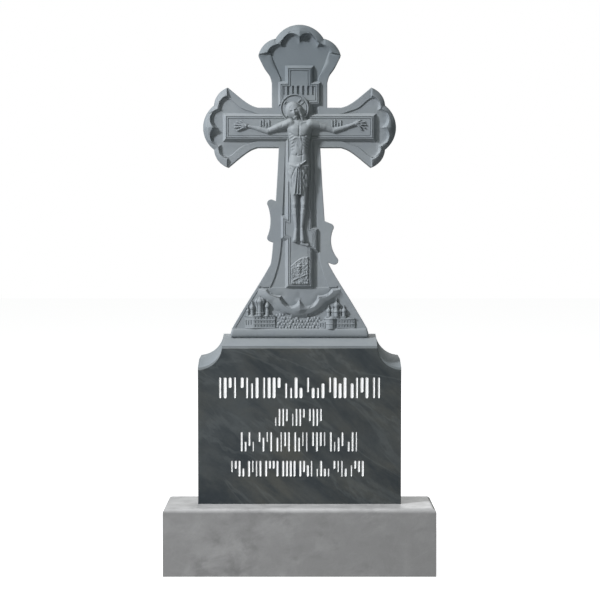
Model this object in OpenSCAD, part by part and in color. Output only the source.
// Carved cross headstone: a marble plinth, and a stele cut from one slab as a tablet with a cross.
// Millimetres, +Z up, front towards -Y, origin at the middle of the plinth's underside.

/* [Plinth] */
// Width of the plinth
plinth_w = 600; // [520:5:720]
// Depth of the plinth, front to back
plinth_d = 180; // [140:5:260]
// Height of the plinth
plinth_h = 150; // [100:5:220]
// Radius of the plinth's top edges
plinth_round = 10; // [4:1:18]

/* [Tablet] */
// Width of the tablet
tablet_w = 452; // [440:2:500]
// Thickness of the whole stone slab
slab_t = 90; // [80:1:110]
// Height of the tablet's face above the plinth, at its middle
tablet_h = 347; // [300:1:420]
// Distance from the plinth's front to the tablet's face
face_setback = 65; // [20:1:70]
// Radius of the hollow shoulders
shoulder_r = 54; // [30:1:60]
// Chamfer along the top of the tablet's face
top_chamfer = 6; // [3:1:8]
// Rise of the sloped top between the chamfer and the ledge
wash_rise = 15; // [8:1:20]

/* [Cross] */
// Depth from the tablet's face back to the cross's border
cross_setback = 50; // [40:1:52]
// Height of the cross above the tablet's top
cross_h = 700; // [640:5:760]
// Full span of the arms
arm_span = 432; // [400:2:440]
// Height of the arms' axis below the cross's top
arm_drop = 229; // [215:1:240]
// Half height of an arm at its neck
arm_half = 44.5; // [38:0.5:50]
// Half width of the upper limb at its neck
head_half = 62; // [56:0.5:68]
// Half width of the shaft just under the arms
shaft_top_half = 46.5; // [42:0.5:52]
// Half width of the shaft where its foot starts to flare
shaft_low_half = 64; // [58:0.5:70]
// Half width of the flared foot at the ledge
foot_half = 152; // [140:1:165]
// Height of the flared foot above the ledge's underside
foot_h = 166; // [150:1:180]
// Depth of the sunk panel inside the border
panel_sink = 2.5; // [1:0.5:4]
// Width of the flat border beside the panel
border_w = 19; // [14:1:24]

/* [Lobed ends] */
// Height of the cushion moulding at its crest
lobe_rise = 13; // [8:0.5:16]
// Width of the cushion moulding at the middle of a scoop
lobe_band = 22; // [16:1:26]

/* [Inner plate] */
// Thickness of the raised inner plate
plate_rise = 10; // [6:0.5:14]
// Width of the plate's bevel
plate_bevel = 8; // [4:0.5:10]
// Half width of the upright bar
bar_half = 33; // [28:0.5:38]
// Half height of the cross bar
bar_arm_half = 33; // [28:0.5:36]
// Length of the cross bar
bar_span = 344; // [320:2:356]
// Slope of the foot board
foot_slope = 20; // [14:1:26]

/* [Corpus] */
// Height of the figure from head to feet
figure_h = 316; // [290:1:330]
// Depth of the figure's relief over the plate
figure_relief = 30; // [22:1:34]
// Radius of the halo
halo_r = 32; // [26:1:36]

/* [Ledge and churches] */
// Height of the ledge
ledge_h = 21; // [16:1:26]
// How far the ledge stands in front of the border
ledge_out = 6; // [3:0.5:9]
// How far the churches stand in front of the flared foot
church_out = 6; // [3:0.5:8]
// Number of trees between the churches
tree_count = 11; // [7:1:15]

/* [Inscription] */
// Depth of the strokes cut in the face
stroke_deep = 1; // [0.5:0.1:1.5]
// Thickness of a stroke
stroke_w = 3; // [2:0.5:4]

/* [Hidden] */

face_y = -plinth_d / 2 + face_setback;      // tablet's polished face
back_y = face_y + slab_t;                   // back of the slab
border_y = face_y + cross_setback;          // front of the cross's border
panel_y = border_y + panel_sink;
plate_y = border_y - plate_rise;            // front of the inner plate
face_top_z = plinth_h + tablet_h;           // top edge of the polished face
tablet_z = face_top_z + top_chamfer + wash_rise;
ledge_z = tablet_z;                         // underside of the ledge
top_z = tablet_z + cross_h;                 // crown of the upper limb
arm_z = top_z - arm_drop;
foot_z = ledge_z + foot_h;                  // where the shaft starts to flare
neck_z = arm_z + 105;                       // where the upper limb starts to widen
embed = 2;                                  // how far a raised form is rooted in what carries it
board_z = arm_z - 237;                      // middle of the foot board
back_bar_z = arm_z - 231;                   // middle of the wide slanted bar behind it

// Middle lobe, cusp and tip of the upper end, measured from its crown
top_lobe = [62, 54.5, 31, 92, 69];
// The same for an arm's end
arm_lobe = [62, 49.5, 24.5, 89, 56];

// ---------- helpers ----------

// Points on an arc, from angle a to angle b in degrees
function arc(c, r, a, b, n) = [for (i = [0:n]) let (t = a + (b - a) * i / n) c + r * [cos(t), sin(t)]];

// Points on an arc through p and q that bulges by s to the left of the way from p to q
function bow(p, q, s, n) =
    let (d = q - p, l = norm(d), r = (l * l / 4 + s * s) / (2 * abs(s)), v = [-d.y, d.x] / l * sign(s),
         c = (p + q) / 2 - v * (r - abs(s)), a = atan2(p.y - c.y, p.x - c.x),
         turn = -2 * sign(s) * asin(l / (2 * r)))
    [for (i = [0:n]) c + r * [cos(a + turn * i / n), sin(a + turn * i / n)]];

// Points on half an ellipse from p to q that rises by h to the left of the way from p to q
function scoop(p, q, h, n) =
    let (d = q - p, v = [-d.y, d.x] / norm(d))
    [for (i = [0:n]) let (t = 180 * i / n) p + d * (1 - cos(t)) / 2 + v * h * sin(t)];

// A list without its last point
function head(p) = [for (i = [0:len(p) - 2]) p[i]];
function mirror_x(p) = [for (i = [len(p) - 1:-1:0]) [-p[i].x, p[i].y]];
function shift(p, d) = [for (q = p) q + d];

// Extrudes a drawing in X and Z from one depth forward to another
module relief(back, front) {
    translate([0, back, 0]) rotate([90, 0, 0]) linear_extrude(back - front) children();
}

// A sphere stretched to three half sizes
module egg(at, half, facets = 12) {
    translate(at) scale(half) sphere(1, $fn = facets);
}

// A rounded limb between two points of the relief
module limb(p, q, rp, rq, facets = 12) {
    hull() {
        translate(p) sphere(rp, $fn = facets);
        translate(q) sphere(rq, $fn = facets);
    }
}

// A plate with bevelled edges, drawn by its corners in X and Z
module bevelled(low, high, slope = 0) {
    hull() {
        relief(border_y + panel_sink, border_y + panel_sink - embed) slanted(low, high, 0, slope);
        relief(plate_y + 1, plate_y) slanted(low, high, plate_bevel, slope);
    }
}

// A bar whose long sides slope and whose ends are upright
module slanted(low, high, inset, slope) {
    fall = tan(slope);
    x0 = low.x + inset;
    x1 = high.x - inset;
    polygon([[x0, low.y + inset - x0 * fall], [x1, low.y + inset - x1 * fall],
             [x1, high.y - inset - x1 * fall], [x0, high.y - inset - x0 * fall]]);
}

// ---------- cross outline ----------

// Half of a lobed end, from the crown out to the tip, with the crown at the origin
function lobe_half(l) =
    concat(head(arc([0, -l[0]], l[0], 90, 90 - asin(l[1] / l[0]), 10)),
           bow([l[1], -l[2]], [l[3], -l[4]], 8, 6));

// The right half of the upper limb, from the crown down to the neck
function upper_right() =
    concat(shift(lobe_half(top_lobe), [0, top_z]),
           [[head_half + 4, neck_z + 12], [head_half, neck_z], [head_half, arm_z + arm_half]]);

// The right arm, turned from a lobed end that points up
function arm_right() =
    let (half = [for (p = lobe_half(arm_lobe)) [arm_span / 2 + p.y, arm_z + p.x]],
         low = [for (p = half) [p.x, 2 * arm_z - p.y]])
    concat([[94, arm_z + arm_half], [108, arm_z + arm_half + 5]],
           [for (i = [len(half) - 1:-1:0]) half[i]],
           [for (i = [1:len(low) - 1]) low[i]],
           [[108, arm_z - arm_half - 5], [94, arm_z - arm_half]]);

// The right side of the shaft and its flared foot
function shaft_right() =
    [[shaft_top_half, arm_z - arm_half], [shaft_low_half, foot_z],
     [shaft_low_half + 22, foot_z - 39], [foot_half - 12, foot_z - 127], [foot_half, ledge_z + ledge_h]];

module cross_outline() {
    right = concat(upper_right(), arm_right(), shaft_right(), [[foot_half, tablet_z - embed]]);
    polygon(concat(right, mirror_x(right)));
}

// A rounded corner of the wide slanted bar, from angle a to angle b; up is 1 at its upper edge
function bar_corner(x, up, a, b) =
    let (r = 9, half_h = 48, z = back_bar_z - x * tan(foot_slope) + up * (half_h - r / cos(foot_slope)))
    arc([x, z], r, a, b, 6);

// The wide slanted bar behind the foot board, whose ends are hollow between rounded corners
module back_bar_outline() {
    turn = 35;
    upper_right = bar_corner(69, 1, 90 - foot_slope, -turn);
    lower_right = bar_corner(78, -1, turn, -90 - foot_slope);
    lower_left = bar_corner(-64, -1, 270 - foot_slope, 180 - turn);
    upper_left = bar_corner(-64, 1, 180 + turn, 90 - foot_slope);
    polygon(concat(head(upper_right), bow(upper_right[6], lower_right[0], -9, 8), lower_right,
                   head(lower_left), bow(lower_left[6], upper_left[0], -6, 8), upper_left));
}

// The sunk panel: the cross's limbs without their border and without their ends
module panel_outline() {
    up = top_z - 40;
    side = arm_span / 2 - 26;
    low = foot_z - 60;
    b = border_w;
    right = [[58, up], [head_half - b, neck_z], [head_half - b, arm_z + arm_half - b + 6],
             [100, arm_z + arm_half - b + 2], [side - 16, arm_z + 64],
             [side - 16, arm_z - 64], [100, arm_z - arm_half + b - 2],
             [shaft_top_half - b + 4, arm_z - arm_half + b - 6],
             [shaft_low_half - b - 2, foot_z], [68, low]];
    polygon(concat(right, mirror_x(right)));
}

// ---------- cushion moulding of the lobed ends ----------

// Resamples a line to n + 1 points that are evenly spaced by index
function resample(p, n) =
    [for (i = [0:n]) let (t = (len(p) - 1) * i / n, k = min(floor(t), len(p) - 2), f = t - k)
     p[k] * (1 - f) + p[k + 1] * f];

// Both halves of a line whose first point lies on the axis
function both(half) = concat(head(mirror_x(half)), half);

// A list, back to front where asked
function turned(p, back) = back ? [for (i = [len(p) - 1:-1:0]) p[i]] : p;

// A closed band between an inner and an outer line, rising to a crest near the inner line;
// it hangs where its outer line is the lower one
module cushion(inner, outer, steps, hangs = false) {
    profile = [[0, -1], [0, 0.5], [0.14, 0.88], [0.34, 1], [0.7, 0.76], [1, 0.1], [1, -1]];
    a = turned(both(resample(inner, steps)), hangs);
    b = turned(both(resample(outer, steps)), hangs);
    count = len(profile);
    last = len(a) - 1;
    points = [for (i = [0:last]) for (s = profile)
              let (p = a[i] * (1 - s[0]) + b[i] * s[0])
              [p.x, s[1] < 0 ? panel_y + embed : border_y - s[1] * lobe_rise, p.y]];
    sides = [for (i = [0:last - 1]) for (j = [0:count - 1])
             let (k = (j + 1) % count)
             [i * count + j, i * count + k, (i + 1) * count + k, (i + 1) * count + j]];
    near = [for (j = [count - 1:-1:0]) j];
    far = [for (j = [0:count - 1]) last * count + j];
    polyhedron(points, concat(sides, [near, far]), convexity = 6);
}

// Inner edge of half an end: from the spur on the axis, a wide scoop, a cusp and a small scoop
function scoops(spur, rise, cusp, side, side_rise) =
    concat(head(scoop([0, -spur], [cusp.x, -cusp.y], rise, 10)),
           bow([cusp.x, -cusp.y], [side.x, -side.y], side_rise, 6));

module top_moulding() {
    translate([0, 0, top_z])
        cushion(scoops(51, 51 - lobe_band, [38.8, 51], [66.6, 64], 7), lobe_half(top_lobe), 16);
}

module arm_moulding() {
    for (a = [90, -90])
        translate([sign(a) * arm_span / 2, 0, arm_z]) rotate([0, a, 0])
            cushion(scoops(31, 40 - lobe_band, [35, 41], [64, 54], 8), lobe_half(arm_lobe), 16);
}

// The trefoil band that hangs over the flared foot
module foot_moulding() {
    inner = concat(head(scoop([0, 100], [40.5, 96], -26, 10)),
                   head(bow([40.5, 96], [72, 111], -6, 4)), [[72, 111], [91, 114]]);
    outer = concat(head(bow([0, 51.5], [59.5, 82], -8, 8)), bow([59.5, 82], [93, 112], -5, 6));
    translate([0, 0, ledge_z]) cushion(inner, outer, 16, hangs = true);
}

// ---------- inner plate ----------

module inner_plate() {
    low = foot_z - 58;
    bevelled([-bar_half, low], [bar_half, top_z - 90]);
    bevelled([-bar_half - 17, arm_z + 46], [bar_half + 17, top_z - 125]);
    bevelled([-bar_span / 2, arm_z - bar_arm_half], [bar_span / 2, arm_z + bar_arm_half]);
    bevelled([-bar_half - 11, board_z - 29], [bar_half + 11, board_z + 29], foot_slope);
}

// Upright marks on the board over the head, which are plain bars
module title_marks() {
    pitch = 11.5;
    for (i = [-2.5:1:2.5])
        translate([i * pitch - 3, plate_y - 2, arm_z + 70]) cube([6, embed + 2, 23]);
}

// ---------- corpus ----------

// The figure is drawn at a height of 316 and a relief of 30 round the middle of the cross bar
module corpus() {
    translate([0, plate_y, arm_z])
        scale([figure_h / 316, figure_relief / 30, figure_h / 316]) {
            carved_head();
            trunk();
            for (side = [-1, 1]) {
                arm(side);
                leg(side);
            }
            loincloth();
            foot_block();
        }
}

module halo() {
    translate([-11, plate_y + 1, arm_z + 42]) rotate([90, 0, 0]) {
        cylinder(h = 4, r = halo_r, $fn = 36);
        difference() {
            cylinder(h = 6.5, r = halo_r, $fn = 36);
            translate([0, 0, -1]) cylinder(h = 9, r = halo_r - 4, $fn = 36);
        }
        for (a = [45, 165, 285]) rotate([0, 0, a]) translate([0, -5, 0]) cube([halo_r - 2, 10, 5.5]);
    }
}

// A head of general form, bowed forward and to one side, with long hair and a short beard
module carved_head() {
    translate([-12, -18, 33]) rotate([14, 8, 0]) {
        egg([0, 0, 0], [13, 15, 19]);
        egg([0, -4, -15], [9, 10, 12]);
        hull() {
            egg([0, 7, 5], [17, 13, 16], 12);
            egg([9, 10, -20], [9, 8, 12], 12);
            egg([-8, 10, -16], [8, 8, 10], 12);
        }
    }
}

// Chest, belly and hips
module trunk() {
    hull() {
        for (x = [-13, 20]) egg([x, -8, -9], [18, 14, 20]);
        egg([2, -9, -32], [25, 14, 16]);
    }
    hull() {
        egg([2, -7, -36], [22, 12, 16]);
        egg([-2, -6, -76], [20, 12, 16]);
    }
    hull() {
        egg([-2, -8, -86], [24, 13, 16]);
        egg([-2, -8, -118], [21, 13, 20]);
    }
}

// One arm, from the shoulder past a low elbow to the open hand
module arm(side) {
    elbow = [4 + side * 74, -5, -7];
    wrist = [3 + side * 116, -3, 5];
    limb([3 + side * 31, -8, 8], elbow, 11, 8.5);
    limb(elbow, wrist, 8.5, 5.5);
    hull() {
        egg(wrist + [side * 3, 0, 0], [7, 5, 5.5], 10);
        egg(wrist + [side * 20, 0, 3], [9, 4, 9], 10);
    }
}

// One leg, from the thigh to the toes
module leg(side) {
    knee = [-2 + side * 9.5, -14, -172];
    ankle = [-2 + side * 7, -7, -228];
    limb([-3 + side * 11, -10, -118], knee, 13, 10);
    limb(knee, ankle, 10, 6.5);
    limb(ankle, ankle + [side * 2, -6, -27], 6.5, 5.5);
}

// Cloth round the hips, with hanging folds, a knot with a loose end and a side flap
module loincloth() {
    folds = 5;
    egg([-3, -9, -88], [26, 15, 13]);
    for (i = [0:folds - 1]) {
        x = -20 + i * 9;
        limb([x, -17, -90], [x + 1, -18, -140 + 3 * i], 5.4, 6);
    }
    limb([4, -22, -90], [17, -19, -74], 6, 4);
    limb([20, -17, -90], [22, -17, -132], 6, 5);
}

// The small sloping block that the feet stand on
module foot_block() {
    relief(2, -12) slanted([-24, -268], [22, -258], 0, foot_slope);
}

// ---------- skull and hill ----------

module skull_and_hill() {
    z = foot_z - 16;
    relief(plate_y + embed, plate_y - 3)
        polygon(concat([[-18, z - 30], [18, z - 30], [18, z + 24]], arc([0, z + 8], 22, 60, 140, 8)));
    egg([-1, plate_y - 2, z + 4], [8.5, 6, 9.5]);
    egg([-1, plate_y - 3, z - 5], [5.5, 4, 5], 10);
    for (s = [-1, 1])
        limb([-s * 13, plate_y - 2, z - 22], [s * 13, plate_y - 3, z - 12], 2.6, 2.6, 8);
}

// ---------- churches, trees and ledge ----------

// A wall of a church, from the ground line up
module wall(x0, x1, h, out) {
    translate([x0, border_y - out, ledge_z + ledge_h - embed]) cube([x1 - x0, out + panel_sink + embed, h + embed]);
}

// A round tower with an onion dome and a spike
module onion(x, base, r, drum, tall) {
    z = ledge_z + ledge_h + base;
    translate([x, border_y + 1, z - embed]) cylinder(h = drum + embed, r = r, $fn = 16);
    hull() {
        egg([x, border_y + 1, z + drum + r * 0.8], [r * 1.25, r * 1.25, r * 1.1], 12);
        translate([x, border_y + 1, z + drum + r * 2.4]) sphere(1.4, $fn = 8);
    }
    translate([x, border_y + 1, z]) cylinder(h = tall, r = 1.2, $fn = 6);
}

module church_left() {
    wall(-122, -100, 30, church_out - 2);
    wall(-100, -65, 35, church_out);
    wall(-65, -54, 29, church_out - 2);
    onion(-87, 35, 9.5, 16, 46);
    onion(-72, 34, 4, 12, 29);
    onion(-104, 30, 4, 10, 28);
}

module church_right() {
    wall(52, 70, 22, church_out - 2);
    wall(70, 112, 24, church_out);
    wall(112, 132, 20, church_out - 2);
    onion(86, 24, 7, 26, 56);
    onion(67, 22, 4, 18, 40);
    onion(103, 24, 4, 18, 40);
}

module trees() {
    pitch = 92 / (tree_count - 1);
    for (i = [0:tree_count - 1]) {
        h = 22 + 9 * sin(i * 137);
        egg([-47 + i * pitch, border_y + 1, ledge_z + ledge_h + h * 0.5], [4.6, 5, h * 0.55], 8);
    }
}

// The ledge under the churches, with a rounded lower edge
module ledge() {
    r = 6;
    front = border_y - ledge_out;
    translate([-foot_half, 0, 0]) rotate([90, 0, 90]) linear_extrude(2 * foot_half)
        polygon(concat([[back_y, ledge_z - embed], [front + r + 2, ledge_z - embed]],
                       arc([front + r, ledge_z + r], r, 250, 180, 6),
                       [[front, ledge_z + ledge_h - 3], [front + 3, ledge_z + ledge_h],
                        [back_y, ledge_z + ledge_h]]));
}

// ---------- tablet ----------

// Outline of the tablet with its hollow shoulders; rise lifts its upper parts
module tablet_outline(rise) {
    half = tablet_w / 2;
    z = face_top_z + rise;
    r = shoulder_r;
    lip = 6;
    right = concat([[half, plinth_h - 60]], arc([half, z + lip], r, 270, 180 + asin(lip / r), 12));
    polygon(concat(right, mirror_x(right)));
}

// One depth zone of the tablet, whose top rises from one height to the next. The outline is
// drawn foreshortened, so that it is true in an upright cut through its sloping sides.
module tablet_zone(front, depth, low, high) {
    slope = atan((high - low) / depth);
    reach = face_top_z + slab_t;
    intersection() {
        translate([-tablet_w / 2, front, plinth_h]) cube([tablet_w, depth, tablet_h + high + 10]);
        translate([0, front, 0]) rotate([90 + slope, 0, 0])
            translate([0, 0, -reach]) linear_extrude(reach + slab_t)
                scale([1, cos(slope)]) tablet_outline(low);
    }
}

module tablet() {
    c = top_chamfer;
    tablet_zone(face_y, c, 0, c);
    tablet_zone(face_y + c, cross_setback - c, c, c + wash_rise);
    tablet_zone(border_y, slab_t - cross_setback, c + wash_rise, c + wash_rise);
}

// ---------- inscription strokes ----------

// One row of upright and leaning strokes between two sides, which form no letters
module stroke_row(x0, x1, z0, z1, pitch, seed) {
    count = floor((x1 - x0) / pitch);
    for (i = [0:count - 1]) {
        lean = 22 * sin(i * 83 + seed);
        gap = (i * 7 + seed) % 9 == 4;
        short = (i * 5 + seed) % 4 == 1 ? 0.55 : 1;
        if (!gap)
            translate([x0 + (i + 0.5) * pitch, face_y, (z0 + z1) / 2]) rotate([0, lean, 0])
                cube([stroke_w, 2 * stroke_deep, (z1 - z0) * 0.92 * short], center = true);
    }
}

module strokes() {
    z = face_top_z;
    stroke_row(-180, 180, z - 110, z - 64, 15, 1);
    stroke_row(-56, 56, z - 172, z - 134, 12.5, 2);
    stroke_row(-131, 131, z - 229, z - 186, 14, 3);
    stroke_row(-153, 153, z - 285, z - 250, 14, 5);
}

// ---------- nodes ----------

// A block whose top edges are rounded all round
module plinth() {
    color([0.53, 0.53, 0.53])
        intersection() {
            translate([-plinth_w / 2, 0, 0]) rotate([90, 0, 90]) linear_extrude(plinth_w)
                rounded_block(plinth_d);
            translate([0, plinth_d / 2, 0]) rotate([90, 0, 0]) linear_extrude(plinth_d)
                rounded_block(plinth_w);
        }
}

module rounded_block(width) {
    r = plinth_round;
    translate([-width / 2, 0]) square([width, plinth_h - r]);
    translate([-width / 2 + r, 0]) square([width - 2 * r, plinth_h]);
    for (s = [-1, 1]) translate([s * (width / 2 - r), plinth_h - r]) circle(r, $fn = 48);
}

module cross() {
    difference() {
        union() {
            relief(back_y, border_y) cross_outline();
            relief(back_y, border_y) back_bar_outline();
        }
        relief(panel_y, border_y - 1) panel_outline();
    }
    top_moulding();
    arm_moulding();
    foot_moulding();
    inner_plate();
    title_marks();
    halo();
    corpus();
    skull_and_hill();
    ledge();
    church_left();
    church_right();
    trees();
}

module stele() {
    color([0.42, 0.45, 0.47]) {
        difference() {
            tablet();
            strokes();
        }
        cross();
    }
}

plinth();
stele();
